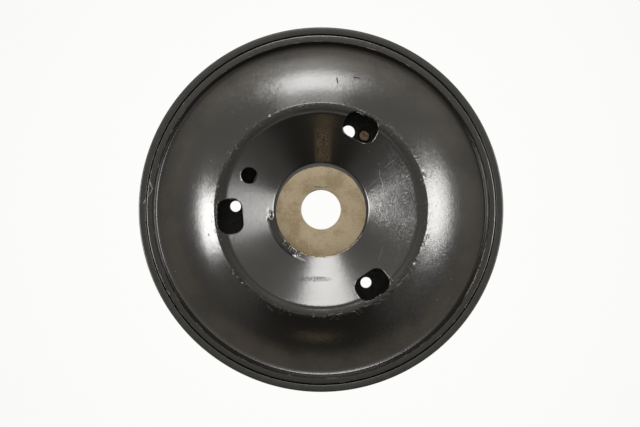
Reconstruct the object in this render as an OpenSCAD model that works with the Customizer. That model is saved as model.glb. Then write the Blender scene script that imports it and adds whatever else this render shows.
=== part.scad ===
// Damper flywheel for a crank nose: a dished hub casting carries a belt ring on a twisting rubber
// isolator, and hides a second ring on rubber inside. Millimetres. +Z is the spin axis, pointing
// at the bolt side. The origin is on the axis, on the hub's rear face.

/* [Belt ring] */
// Outside diameter over the belt ribs
ring_d = 160; // [156:1:168]
// Height of the front faces of the belt ring and the casting above the hub's rear face
face_z = 34; // [33.5:0.5:36]
// Axial width of the belt ring
ring_w = 28.8; // [28:0.2:29.4]
// Number of V grooves for the belt
groove_n = 6; // [3:1:6]
// Distance from one groove to the next
groove_pitch = 3.56; // [3.2:0.02:3.56]
// Depth of a groove
groove_depth = 2.8; // [2:0.1:3]

/* [Dished casting] */
// Radius of the casting's rim flange
flange_r = 76.5; // [76:0.1:76.7]
// Radial gap between the rim flange and the belt ring's lip
rim_gap = 0.45; // [0.3:0.05:0.5]
// Thickness of the rim flange
flange_t = 4.6; // [4:0.1:5]
// Radius at which the raised rim steps down to the dish
rim_inner_r = 73.7; // [73:0.1:74.5]
// Depth of the dish below the rim
dish_depth = 1.6; // [1:0.1:2]
// Radius of the curve that sweeps up from the dish to the ridge
sweep_r = 39.5; // [36:0.5:44]
// Outer radius of the raised ridge
ridge_r = 46.5; // [45:0.5:48]
// Width of the flat land on top of the ridge
ridge_land = 3.5; // [2.5:0.5:4.5]
// Slope of the funnel that runs down from the ridge to the hub
funnel_angle = 26; // [22:1:28]
// Wall thickness of the dish
wall = 5; // [4:0.5:5.5]

/* [Hub] */
// Outside diameter of the steel hub, which shows as the bare face round the bolt
hub_d = 41.6; // [38:0.2:44]
// Diameter of the bolt hole
bolt_hole_d = 17.5; // [16:0.5:20]
// Length of the bolt hole
bolt_wall = 8; // [6:0.5:10]
// Diameter of the seat for the crank nose
nose_d = 30; // [26:1:32]

/* [Pockets and holes] */
// Number of pockets, spaced evenly round the funnel
pocket_n = 3; // [2:1:4]
// Angle of the first pocket
pocket_angle = 64.3; // [60:0.1:68]
// Radius of a pocket's centre
pocket_centre_r = 39.8; // [39:0.1:40.2]
// Length of a pocket round the funnel
pocket_l = 15.2; // [14:0.2:16]
// Width of a pocket along the radius
pocket_w = 11.2; // [10:0.2:11.6]
// Corner radius of a pocket
pocket_corner_r = 4.4; // [3:0.2:4.8]
// Angle of the round timing hole
timing_angle = 154.6; // [150:0.2:160]
// Radius at which the timing hole sits
timing_centre_r = 34.8; // [34:0.2:36]
// Diameter of the timing hole
timing_d = 6.8; // [6:0.2:7]
// Angle of the dowel in the rear plate
tapped_angle = 59.7; // [58:0.1:61]
// Angle from the dowel to the tapped hole on each side of it
tapped_spread = 118; // [117:0.5:120]
// Radius of the circle that holds the dowel and the tapped holes
tapped_circle_r = 38.8; // [38:0.1:40]
// Diameter of a tapped hole, and of the dowel's front end
tapped_d = 5; // [4.6:0.1:5.4]
// Angle of the plain index hole beside the dowel
index_angle = 70.7; // [70.7:0.1:72]
// Radius at which the index hole sits
index_centre_r = 37.4; // [37:0.1:38]
// Diameter of the index hole
index_d = 6; // [5.6:0.1:6]

/* [Rubber and bearing parts] */
// Outer radius of the casting's drum, which the belt ring turns round
drum_r = 67; // [66.5:0.1:67.2]
// Wall thickness of the drum
drum_wall = 3.5; // [3:0.1:4]
// Thickness of each isolator sleeve
sleeve_t = 1; // [0.8:0.1:1.2]
// Running clearance at the slide bush, on the radius
running_gap = 0.05; // [0.02:0.01:0.1]
// Thickness of the damper's rubber, on the radius
damper_rubber_t = 2.5; // [2:0.1:3]
// Inner radius of the hidden inertia ring
inertia_inner_r = 50; // [49:0.5:53]
// Height of the hidden inertia ring
inertia_h = 14.5; // [12:0.5:14.5]
// Diameter of the dowel's thick end behind the rear plate
dowel_end_d = 6; // [5.4:0.1:6]
// Number of rivets that hold the rear plate
rivet_n = 6; // [4:1:8]
// Shank diameter of a rivet
rivet_d = 5; // [4:0.5:5]

/* [Hidden] */
$fn = 180;

press_gap = 0.02;                    // between pieces pressed or bonded to each other
bond_gap = 0.08;                     // between rubber and the ring that it lets twist
chamfer = 0.4;                       // broken edges
ring_r = ring_d / 2;
lip_r = flange_r + rim_gap;          // inside of the belt ring's front lip
groove_half = groove_depth * tan(20);
groove_zone_low = face_z - ring_w + 2;
flange_low = face_z - flange_t;      // underside of the rim flange
dish_z = face_z - dish_depth;
dish_r = 70.6;                       // where the sweep starts
step_curve_r = 3.9;                  // hollow curve at the foot of the rim's step
sweep_z = dish_z + sweep_r;          // centre of the sweep curve
ridge_z = sweep_z - sqrt(sweep_r * sweep_r - pow(dish_r - ridge_r, 2));
funnel_r = ridge_r - ridge_land;
hub_r = hub_d / 2;
funnel_low = ridge_z - (funnel_r - hub_r) * tan(funnel_angle);
hub_face_z = funnel_low - 0.75;      // the spot-faced seat sits just below the paint
wall_drop = wall / cos(funnel_angle);
tube_r = 25.2;                       // casting's tube round the hub sleeve
tube_flange_r = 33.8;
plate_low = 3.5;
plate_high = 8;
tube_flange_high = 12;
drum_inner_r = drum_r - drum_wall;
drum_low = 2.8;
sleeve_low = 10.5;
sleeve_high = flange_low - 2.4;
rubber_inner_r = drum_r + press_gap + sleeve_t;
ring_bore_r = 72.5;                  // inside of the belt ring over the isolator
ring_low = face_z - ring_w;
thrust_t = 0.8;
shoulder_z = flange_low - thrust_t - 2 * running_gap;
bush_r = 69;
bush_high = 9.6;
bush_flange_r = 71.5;
bush_flange_t = 0.85;
bush_low = ring_low - running_gap - bush_flange_t;
retainer_t = 1.2;
inertia_low = 11.5;
rivet_circle_r = 29.5;
rivet_head_r = 3.8;
rivet_head_t = 1.6;
hub_flange_r = 24.8;
dowel_stand_out = 3.2;               // how far the dowel reaches behind the rear plate

// A ring with square corners, from z low to z high
module ring(inner_r, outer_r, low, high) {
    translate([0, 0, low])
        difference() {
            cylinder(r = outer_r, h = high - low);
            translate([0, 0, -1])
                cylinder(r = inner_r, h = high - low + 2);
        }
}

// A rounded rectangle centred on the origin
module rounded_slot(l, w, r) {
    square([l - 2 * r, w], center = true);
    square([l, w - 2 * r], center = true);
    for (x = [-1, 1], y = [-1, 1])
        translate([x * (l / 2 - r), y * (w / 2 - r)])
            circle(r = r);
}

// Places its children at radius r and angle a
module at_polar(a, r) {
    rotate([0, 0, a])
        translate([r, 0, 0])
            children();
}

// Points along an arc, from angle a0 to angle a1
function arc(centre_r, centre_z, r, a0, a1, steps) = [
    for (i = [0:steps])
        let (a = a0 + (a1 - a0) * i / steps)
        [centre_r + r * cos(a), centre_z + r * sin(a)]
];

// The casting's section, counted from the tube's rear end outwards and back along the painted face
module casting_section() {
    bore_r = hub_r + press_gap;
    under_r = sweep_r + wall;
    polygon(concat(
        [
            [bore_r, plate_high], [tube_flange_r, plate_high],
            [tube_flange_r, tube_flange_high], [tube_r, tube_flange_high],
            [tube_r, funnel_low - wall_drop + (tube_r - bore_r) * tan(funnel_angle)]
        ],
        arc(dish_r, sweep_z, under_r, -acos((funnel_r + 1.6 - dish_r) / under_r),
            -acos((drum_inner_r - dish_r) / under_r), 12),
        [
            [drum_inner_r, drum_low], [drum_r, drum_low], [drum_r, flange_low],
            [flange_r, flange_low], [flange_r, face_z - chamfer], [flange_r - chamfer, face_z],
            [rim_inner_r, face_z]
        ],
        arc(dish_r, dish_z + step_curve_r, step_curve_r, -43, -85, 6),
        arc(dish_r, sweep_z, sweep_r, -90, -acos((ridge_r - dish_r) / sweep_r), 16),
        [[funnel_r, ridge_z], [bore_r, funnel_low]]
    ));
}

module rivet_holes() {
    for (i = [0:rivet_n - 1])
        at_polar(i * 360 / rivet_n, rivet_circle_r)
            cylinder(d = rivet_d + 2 * press_gap, h = tube_flange_high + 1);
}

module front_casting() {
    color([0.09, 0.09, 0.085])
        difference() {
            rotate_extrude()
                casting_section();
            // pockets that give a way down to the rear plate
            for (i = [0:pocket_n - 1])
                at_polar(pocket_angle + i * 360 / pocket_n, pocket_centre_r)
                    translate([0, 0, tube_flange_high + 2])
                        linear_extrude(ridge_z)
                            rounded_slot(pocket_w, pocket_l, pocket_corner_r);
            at_polar(timing_angle, timing_centre_r)
                translate([0, 0, tube_flange_high + 2])
                    cylinder(d = timing_d, h = ridge_z);
            rivet_holes();
        }
}

module hub_sleeve() {
    color([0.62, 0.57, 0.48])
        rotate_extrude()
            polygon([
                [nose_d / 2, chamfer], [nose_d / 2 + chamfer, 0],
                [hub_flange_r - chamfer, 0], [hub_flange_r, chamfer],
                [hub_flange_r, plate_low - press_gap], [hub_r, plate_low - press_gap],
                [hub_r, hub_face_z - 0.2], [hub_r - 0.2, hub_face_z],
                [bolt_hole_d / 2 + chamfer, hub_face_z], [bolt_hole_d / 2, hub_face_z - chamfer],
                [bolt_hole_d / 2, hub_face_z - bolt_wall], [nose_d / 2, hub_face_z - bolt_wall]
            ]);
}

module rear_plate() {
    color([0.13, 0.13, 0.12])
        difference() {
            ring(hub_r + press_gap, drum_inner_r - press_gap, plate_low, plate_high - press_gap);
            rivet_holes();
            // the dowel's hole, then a tapped hole on each side of it
            at_polar(tapped_angle, tapped_circle_r)
                cylinder(d = tapped_d + 2 * press_gap, h = plate_high + 1);
            for (turn = [tapped_spread, -tapped_spread])
                at_polar(tapped_angle + turn, tapped_circle_r)
                    cylinder(d = tapped_d, h = plate_high + 1);
            at_polar(index_angle, index_centre_r)
                cylinder(d = index_d, h = plate_high + 1);
        }
}

module plate_rivets() {
    color([0.35, 0.34, 0.32])
        for (i = [0:rivet_n - 1])
            at_polar(i * 360 / rivet_n, rivet_circle_r)
                rotate_extrude()
                    polygon([
                        [0, plate_low - rivet_head_t], [rivet_head_r - 0.8, plate_low - rivet_head_t],
                        [rivet_head_r, plate_low - 0.7], [rivet_head_r, plate_low - press_gap],
                        [rivet_d / 2, plate_low - press_gap], [rivet_d / 2, tube_flange_high + press_gap],
                        [rivet_head_r, tube_flange_high + press_gap],
                        [rivet_head_r, tube_flange_high + 0.7],
                        [rivet_head_r - 0.8, tube_flange_high + rivet_head_t],
                        [0, tube_flange_high + rivet_head_t]
                    ]);
}

// Stepped: the thick end stands out behind the plate
module locating_dowel() {
    color([0.45, 0.33, 0.2])
        at_polar(tapped_angle, tapped_circle_r)
            rotate_extrude()
                polygon([
                    [0, plate_low - dowel_stand_out],
                    [dowel_end_d / 2 - chamfer, plate_low - dowel_stand_out],
                    [dowel_end_d / 2, plate_low - dowel_stand_out + chamfer],
                    [dowel_end_d / 2, plate_low - press_gap], [tapped_d / 2, plate_low - press_gap],
                    [tapped_d / 2, plate_high + 1 - chamfer], [tapped_d / 2 - chamfer, plate_high + 1],
                    [0, plate_high + 1]
                ]);
}

module isolator_inner_sleeve() {
    color([0.5, 0.5, 0.52])
        ring(drum_r + press_gap, drum_r + press_gap + sleeve_t, sleeve_low, sleeve_high);
}

module isolator_rubber() {
    color([0.16, 0.16, 0.17])
        ring(rubber_inner_r + press_gap, ring_bore_r - press_gap - sleeve_t - bond_gap,
             sleeve_low + 0.5, sleeve_high - 0.5);
}

module isolator_outer_sleeve() {
    color([0.55, 0.55, 0.57])
        ring(ring_bore_r - press_gap - sleeve_t, ring_bore_r - press_gap, sleeve_low, sleeve_high);
}

module belt_ring() {
    color([0.25, 0.25, 0.23])
        rotate_extrude()
            difference() {
                polygon([
                    [bush_r + running_gap, ring_low], [ring_r - 0.6, ring_low],
                    [ring_r, ring_low + 0.6], [ring_r, face_z - 0.5], [ring_r - 0.5, face_z],
                    [lip_r + 0.3, face_z], [lip_r, face_z - 0.3], [lip_r, shoulder_z],
                    [ring_bore_r, shoulder_z], [ring_bore_r, sleeve_low - 0.5],
                    [bush_r + running_gap, sleeve_low - 0.5]
                ]);
                for (i = [0:groove_n - 1])
                    translate([ring_r, groove_zone_low + (i + 0.5) * groove_pitch])
                        polygon([
                            [-groove_depth, -0.3], [0.4, -groove_half - 0.45],
                            [0.4, groove_half + 0.45], [-groove_depth, 0.3]
                        ]);
            }
}

module front_thrust_ring() {
    color([0.75, 0.72, 0.62])
        ring(ring_bore_r + 0.3, flange_r - 0.2, flange_low - press_gap - thrust_t, flange_low - press_gap);
}

module slide_bush() {
    color([0.8, 0.77, 0.66])
        rotate_extrude()
            polygon([
                [drum_r + press_gap, bush_low], [bush_flange_r, bush_low],
                [bush_flange_r, bush_low + bush_flange_t], [bush_r, bush_low + bush_flange_t],
                [bush_r, bush_high], [drum_r + press_gap, bush_high]
            ]);
}

module retaining_ring() {
    color([0.4, 0.4, 0.42])
        ring(drum_r + press_gap, bush_flange_r, bush_low - press_gap - retainer_t, bush_low - press_gap);
}

module damper_rubber() {
    color([0.14, 0.14, 0.15])
        ring(drum_inner_r - damper_rubber_t + bond_gap, drum_inner_r - press_gap,
             inertia_low + 0.5, inertia_low + inertia_h - 0.5);
}

module inertia_ring() {
    color([0.33, 0.33, 0.34])
        rotate_extrude()
            polygon([
                [inertia_inner_r, inertia_low + 1], [inertia_inner_r + 1, inertia_low],
                [drum_inner_r - damper_rubber_t - 0.5, inertia_low],
                [drum_inner_r - damper_rubber_t, inertia_low + 0.5],
                [drum_inner_r - damper_rubber_t, inertia_low + inertia_h - 0.5],
                [drum_inner_r - damper_rubber_t - 0.5, inertia_low + inertia_h],
                [inertia_inner_r + 1, inertia_low + inertia_h],
                [inertia_inner_r, inertia_low + inertia_h - 1]
            ]);
}

front_casting();
hub_sleeve();
rear_plate();
plate_rivets();
locating_dowel();
isolator_inner_sleeve();
isolator_rubber();
isolator_outer_sleeve();
belt_ring();
front_thrust_ring();
slide_bush();
retaining_ring();
damper_rubber();
inertia_ring();
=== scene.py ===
# Damper flywheel: a dished black casting with a belt ring round it, seen from its bolt side.
import math

import bmesh
import bpy
import numpy as np
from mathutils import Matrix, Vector, noise


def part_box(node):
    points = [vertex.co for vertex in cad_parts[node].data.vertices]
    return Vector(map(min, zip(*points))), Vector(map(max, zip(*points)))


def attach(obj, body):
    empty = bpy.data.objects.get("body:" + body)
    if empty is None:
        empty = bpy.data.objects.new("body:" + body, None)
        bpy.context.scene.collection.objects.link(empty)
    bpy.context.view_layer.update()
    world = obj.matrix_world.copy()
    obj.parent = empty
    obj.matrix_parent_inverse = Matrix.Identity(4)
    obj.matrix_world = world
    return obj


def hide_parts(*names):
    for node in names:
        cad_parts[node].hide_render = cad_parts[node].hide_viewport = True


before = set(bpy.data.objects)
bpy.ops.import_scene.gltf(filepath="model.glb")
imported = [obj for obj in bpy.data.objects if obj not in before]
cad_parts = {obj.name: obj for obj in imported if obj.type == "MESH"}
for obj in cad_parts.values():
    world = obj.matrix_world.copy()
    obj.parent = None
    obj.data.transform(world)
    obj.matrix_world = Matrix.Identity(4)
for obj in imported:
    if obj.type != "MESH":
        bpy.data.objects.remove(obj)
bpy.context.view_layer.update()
mm = 0.001
scene = bpy.context.scene
print("frame loaded:", len(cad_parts), "nodes")


def roundRadius(node):
    # largest radius that stays inside a round node's own box
    low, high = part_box(node)
    return min(-low.x, -low.y, high.x, high.y)


def smooth(low, high, value):
    t = min(max((value - low) / (high - low), 0), 1)
    return t * t * (3 - 2 * t)


def angleApart(a, b):
    # degrees between two directions round the axis
    return abs((a - b + 180) % 360 - 180)


def arcPoints(centreR, centreZ, radius, start, end, steps):
    points = []
    for i in range(steps + 1):
        a = math.radians(start + (end - start) * i / steps)
        points.append((centreR + radius * math.cos(a), centreZ + radius * math.sin(a)))
    return points


def newFinish(name):
    mat = bpy.data.materials.new(name)
    mat.use_nodes = True
    shader = mat.node_tree.nodes["Principled BSDF"]
    return mat, mat.node_tree, shader


def addNode(tree, kind, inputs=None, **settings):
    node = tree.nodes.new(kind)
    for key, value in settings.items():
        setattr(node, key, value)
    for key, value in (inputs or {}).items():
        if isinstance(value, bpy.types.NodeSocket):
            tree.links.new(value, node.inputs[key])
        else:
            node.inputs[key].default_value = value
    return node


def calc(tree, operation, a, b=0.0, c=0.0, clamp=False):
    node = addNode(tree, "ShaderNodeMath", {0: a, 1: b, 2: c}, operation=operation, use_clamp=clamp)
    return node.outputs[0]


def times(tree, a, b):
    return calc(tree, "MULTIPLY", a, b)


def plus(tree, a, b):
    return calc(tree, "ADD", a, b)


def minus(tree, a, b):
    return calc(tree, "SUBTRACT", a, b)


def larger(tree, a, b):
    return calc(tree, "MAXIMUM", a, b)


def distance(tree, x, y):
    return calc(tree, "SQRT", plus(tree, times(tree, x, x), times(tree, y, y)))


def ramp(tree, value, low, high, toLow=0.0, toHigh=1.0):
    node = addNode(tree, "ShaderNodeMapRange", {0: value, 1: low, 2: high, 3: toLow, 4: toHigh},
                   interpolation_type="SMOOTHSTEP")
    return node.outputs[0]


def blend(tree, amount, a, b):
    node = addNode(tree, "ShaderNodeMix", data_type="RGBA")
    for key, value in ((0, amount), (6, a), (7, b)):
        if isinstance(value, bpy.types.NodeSocket):
            tree.links.new(value, node.inputs[key])
        else:
            node.inputs[key].default_value = value
    return node.outputs[2]


def speckle(tree, where, scale, detail=2.0, roughness=0.5, distortion=0.0):
    node = addNode(tree, "ShaderNodeTexNoise",
                   {"Vector": where, "Scale": scale, "Detail": detail, "Roughness": roughness,
                    "Distortion": distortion})
    return node.outputs["Fac"]


def objectPlace(tree):
    # place on the piece, with its parts, radius and angle round the axis
    place = addNode(tree, "ShaderNodeTexCoord").outputs["Object"]
    parts = addNode(tree, "ShaderNodeSeparateXYZ", {0: place})
    x, y, z = parts.outputs
    radius = distance(tree, x, y)
    angle = calc(tree, "ARCTAN2", y, x)
    return place, x, y, z, radius, angle


def polarPlace(tree, radius, angle, z, stretch):
    # place unrolled round the axis, squeezed by stretch along the turn
    along = times(tree, angle, stretch)
    return addNode(tree, "ShaderNodeCombineXYZ", {0: along, 1: radius, 2: z}).outputs[0]


def gray(value, alpha=1.0):
    return (value, value, value, alpha)


def colour(r, g, b):
    return (r, g, b, 1.0)


# Black paint: tones, gloss and how strong each kind of wear is; sizes in mm
blackPaintLook = {
    "base": colour(0.0026, 0.0024, 0.0020),
    "dust": colour(0.0075, 0.0055, 0.0036),
    "chip": colour(0.085, 0.082, 0.073),
    # painted reflection: brown tone of a warm light mirrored in the funnel's strip
    "paintedReflectionTone": colour(0.030, 0.0215, 0.012),
    "bare": colour(0.34, 0.29, 0.21),
    "roughness": 0.22,
    "peelScale": 620,
    "gritScale": 1500,
    "bumpHeight": 0.00008,            # metres
    "grainScale": 1800,
    "grainLean": 0.085,
    "ridgeRadius": 46.5,
    "dustRadius": 66.5,
    "scratchWear": 0.42, "chipWear": 0.18, "rimWear": 0.45,
    "nickWear": 0.2, "hairWear": 0.6, "speckWear": 0.3,
}


# Scratches and nicks in the paint, as (start, end, width) in mm across the disc
lightNicks = [
    ((16.5, 43.6), (19.0, 42.5), 0.3), ((24.5, 38.0), (28.0, 36.8), 0.2),
    ((28.0, 36.8), (31.5, 35.9), 0.2), ((31.5, 35.9), (32.9, 32.6), 0.2),
    ((25.2, 17.5), (27.5, 8.5), 0.16), ((27.0, -16.5), (25.2, -22.0), 0.16),
    ((29.0, -28.5), (31.4, -31.0), 0.4), ((19.2, -41.9), (26.0, -40.4), 0.3),
    ((-23.5, -41.8), (-21.2, -44.0), 0.35), ((-33.4, -30.6), (-29.0, -35.3), 0.22),
    ((-41.5, 19.5), (-38.2, 26.6), 0.2),
]
darkNicks = [
    ((7.3, 55.6), (6.9, 57.8), 0.4), ((14.2, 58.1), (17.0, 57.6), 0.35),
    ((-49.1, -10.7), (-48.9, -11.1), 0.45),
]
rimHair = [
    ((-74.9, 12.2), (-74.6, 10.6), 0.2), ((-74.6, 10.6), (-73.9, 9.3), 0.2),
    ((-73.9, 9.3), (-74.5, 7.8), 0.2), ((-74.5, 7.8), (-76.1, 5.6), 0.2),
    ((-76.1, 5.6), (-77.8, 2.9), 0.2),
]
seatMarks = [
    ((-2.6, 10.1), (0.2, 9.8), 0.5), ((0.2, 9.8), (2.4, 10.0), 0.4),
    ((-4.7, -16.2), (-4.6, -16.3), 0.35),
]
plateMarks = [((-43.2, -6.4), (-36.2, -3.2), 0.3)]


def strokeMask(tree, place, strokes, wander=0.9):
    # 1 on the strokes, which wander a little and have soft edges
    stray = addNode(tree, "ShaderNodeTexNoise", {"Vector": place, "Scale": 420, "Detail": 1.0})
    drift = addNode(tree, "ShaderNodeSeparateXYZ", {0: stray.outputs["Color"]}).outputs
    here = addNode(tree, "ShaderNodeSeparateXYZ", {0: place}).outputs
    x, y = (calc(tree, "MULTIPLY_ADD", minus(tree, drift[i], 0.5), wander * mm, here[i]) for i in (0, 1))
    found = 0.0
    for start, end, width in strokes:
        sx, sy = (end[0] - start[0]) * mm, (end[1] - start[1]) * mm
        px = minus(tree, x, start[0] * mm)
        py = minus(tree, y, start[1] * mm)
        along = plus(tree, times(tree, px, sx), times(tree, py, sy))
        t = calc(tree, "DIVIDE", along, sx * sx + sy * sy, clamp=True)
        dx = minus(tree, px, times(tree, t, sx))
        dy = minus(tree, py, times(tree, t, sy))
        away = distance(tree, dx, dy)
        found = larger(tree, found, ramp(tree, away, width * mm * 0.3, width * mm, 1.0, 0.0))
    return found


def ringMask(tree, radius, centre, half, soft):
    # 1 within half of a radius, all in mm
    away = calc(tree, "ABSOLUTE", minus(tree, radius, centre * mm))
    return ramp(tree, away, (half - soft) * mm, (half + soft) * mm, 1.0, 0.0)


def stripMask(tree, x, y):
    # a strip at the top of the funnel, where the paint is coarse and a warm light's reflection is painted in
    # speckles
    off = calc(tree, "ABSOLUTE", minus(tree, x, 0.8 * mm))
    up = times(tree, ramp(tree, y, 16 * mm, 22 * mm), ramp(tree, y, 33 * mm, 38 * mm, 1.0, 0.0))
    return times(tree, ramp(tree, off, 2.0 * mm, 3.9 * mm, 1.0, 0.0), up)


def paintWear(tree, place, z, radius, angle, cloud, chipNoise):
    # how far the paint is worn: scratches that run round near the ridge, chips on its crest, nicks,
    # the hair, the rim's edges, and sparse light specks all over
    look = blackPaintLook
    scratchNoise = speckle(tree, polarPlace(tree, radius, angle, z, 0.010), 1900, 3.0, 0.65, 0.3)
    shoulder = ringMask(tree, radius, look["ridgeRadius"], 1.9, 1.0)
    patchy = ramp(tree, cloud, 0.42, 0.6)
    scratches = times(tree, ramp(tree, scratchNoise, 0.60, 0.68), times(tree, shoulder, patchy))
    crest = ringMask(tree, radius, look["ridgeRadius"], 0.7, 0.3)
    chips = times(tree, ramp(tree, chipNoise, 0.56, 0.66), crest)
    nicks = times(tree, strokeMask(tree, place, lightNicks), ramp(tree, chipNoise, 0.36, 0.5))
    hair = times(tree, strokeMask(tree, place, rimHair, 0.25), ramp(tree, chipNoise, 0.28, 0.42))
    rimEdges = larger(tree, ringMask(tree, radius, 76.3, 0.3, 0.1), ringMask(tree, radius, 73.85, 0.2, 0.1))
    rim = times(tree, rimEdges, ramp(tree, scratchNoise, 0.55, 0.7))
    dots = addNode(tree, "ShaderNodeTexVoronoi", {"Vector": place, "Scale": 190.0})
    chosen = addNode(tree, "ShaderNodeSeparateXYZ", {0: dots.outputs["Color"]}).outputs[0]
    dot = ramp(tree, dots.outputs["Distance"], 0.025, 0.05, 1.0, 0.0)
    specks = times(tree, dot, calc(tree, "GREATER_THAN", chosen, 0.62))
    wear = times(tree, scratches, look["scratchWear"])
    for mask, amount in ((chips, "chipWear"), (rim, "rimWear"), (nicks, "nickWear"), (hair, "hairWear"),
                         (specks, "speckWear")):
        wear = larger(tree, wear, times(tree, mask, look[amount]))
    return wear


def paintPits(tree, place, radius):
    # dark pits on the slope outside the ridge
    fineDots = addNode(tree, "ShaderNodeTexVoronoi", {"Vector": place, "Scale": 620.0})
    pick = addNode(tree, "ShaderNodeSeparateXYZ", {0: fineDots.outputs["Color"]}).outputs[1]
    pits = times(tree, ramp(tree, fineDots.outputs["Distance"], 0.12, 0.2, 1.0, 0.0),
                 calc(tree, "GREATER_THAN", pick, 0.72))
    return times(tree, pits, times(tree, ringMask(tree, radius, 49.2, 2.2, 1.6), 0.55))


def paintTone(tree, x, y, z, radius, angle, cloud, chipNoise, strip, paintedReflectionGrain, wear):
    # warm dust in the flat part of the dish, then painted reflection speckles on the strip, and the wear over
    # it
    look = blackPaintLook
    dust = times(tree, ringMask(tree, radius, look["dustRadius"], 4.2, 3.2), ramp(tree, cloud, 0.3, 0.6))
    base = blend(tree, dust, look["base"], look["dust"])
    # painted reflection: brown speckles of a warm light mirrored in the strip
    base = blend(tree, times(tree, strip, ramp(tree, paintedReflectionGrain, 0.45, 0.66)), base, look["paintedReflectionTone"])
    base = blend(tree, wear, base, look["chip"])
    # bare metal: a rubbed stretch on the rim's inner edge, and the cut edge below the seat
    fromRub = calc(tree, "ABSOLUTE", plus(tree, angle, math.radians(21)))
    rubbed = times(tree, ringMask(tree, radius, 73.75, 0.2, 0.1),
                   ramp(tree, fromRub, math.radians(8), math.radians(12), 0.2, 0.0))
    cut = times(tree, ramp(tree, radius, 20.95 * mm, 21.1 * mm, 1.0, 0.0),
                ramp(tree, y, -14 * mm, -9 * mm, 1.0, 0.0))
    bare = times(tree, larger(tree, rubbed, cut), ramp(tree, chipNoise, 0.40, 0.56))
    base = blend(tree, bare, base, look["bare"])
    # painted highlight: the tops of the cast marks are painted pale
    marks = times(tree, ramp(tree, radius, 23.6 * mm, 24.0 * mm, 1.0, 0.0),
                  ramp(tree, z, 30.72 * mm, 30.95 * mm))
    marks = times(tree, times(tree, marks, ramp(tree, x, -6 * mm, -8 * mm)), ramp(tree, y, 3 * mm, 0.0))
    return blend(tree, times(tree, marks, 0.8), base, look["chip"])


def paintGloss(tree, place, x, y, radius, grain, pits):
    # 1 where the paint shines; the scuff, the dark nicks and the pits dull it, and painted shade takes gloss
    # off the rim's step, the rim's inner edge below its top, the right foot and the left land
    fromX = calc(tree, "DIVIDE", plus(tree, x, 2.5 * mm), 7.6 * mm)
    fromY = calc(tree, "DIVIDE", plus(tree, y, 30.4 * mm), 1.3 * mm)
    apart = plus(tree, times(tree, fromX, fromX), times(tree, fromY, fromY))
    scuff = times(tree, ramp(tree, apart, 0.3, 1.2, 1.0, 0.0), ramp(tree, grain, 0.42, 0.58, 0.12, 0.62))
    rubs = larger(tree, scuff, times(tree, strokeMask(tree, place, darkNicks, 0.4), 0.85))
    # painted shade: these rings and the left land lose gloss so that they read dark, as if in shade
    paintedShade = times(tree, ringMask(tree, radius, 71.1, 0.6, 0.1), 0.1)
    lowerEdge = ramp(tree, y, 30 * mm, 55 * mm, 0.85, 0.0)
    rightFoot = ramp(tree, x, 35 * mm, 62 * mm, 0.0, 0.65)
    for centre, half, soft, amount in ((73.65, 0.35, 0.1, lowerEdge), (72.3, 0.8, 0.2, rightFoot),
                                       (72.95, 0.6, 0.08, 0.8)):
        paintedShade = larger(tree, paintedShade, times(tree, ringMask(tree, radius, centre, half, soft), amount))
    leftLand = times(tree, ringMask(tree, radius, 44.4, 2.2, 0.8), ramp(tree, x, -12 * mm, -38 * mm))
    paintedShade = larger(tree, paintedShade, times(tree, leftLand, 0.2))
    return times(tree, minus(tree, 1.0, paintedShade), minus(tree, 1.0, larger(tree, rubs, pits)))


def grainNormal(tree, grains, grit):
    # each grain of the coarse paint leans its own way
    lean = addNode(tree, "ShaderNodeVectorMath", {0: grains.outputs["Color"], 1: (0.5, 0.5, 0.5)},
                   operation="SUBTRACT")
    amount = times(tree, grit, blackPaintLook["grainLean"])
    lean = addNode(tree, "ShaderNodeVectorMath", {0: lean.outputs[0], "Scale": amount}, operation="SCALE")
    facing = addNode(tree, "ShaderNodeNewGeometry").outputs["Normal"]
    tilted = addNode(tree, "ShaderNodeVectorMath", {0: facing, 1: lean.outputs[0]}, operation="ADD")
    return addNode(tree, "ShaderNodeVectorMath", {0: tilted.outputs[0]}, operation="NORMALIZE").outputs[0]


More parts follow.
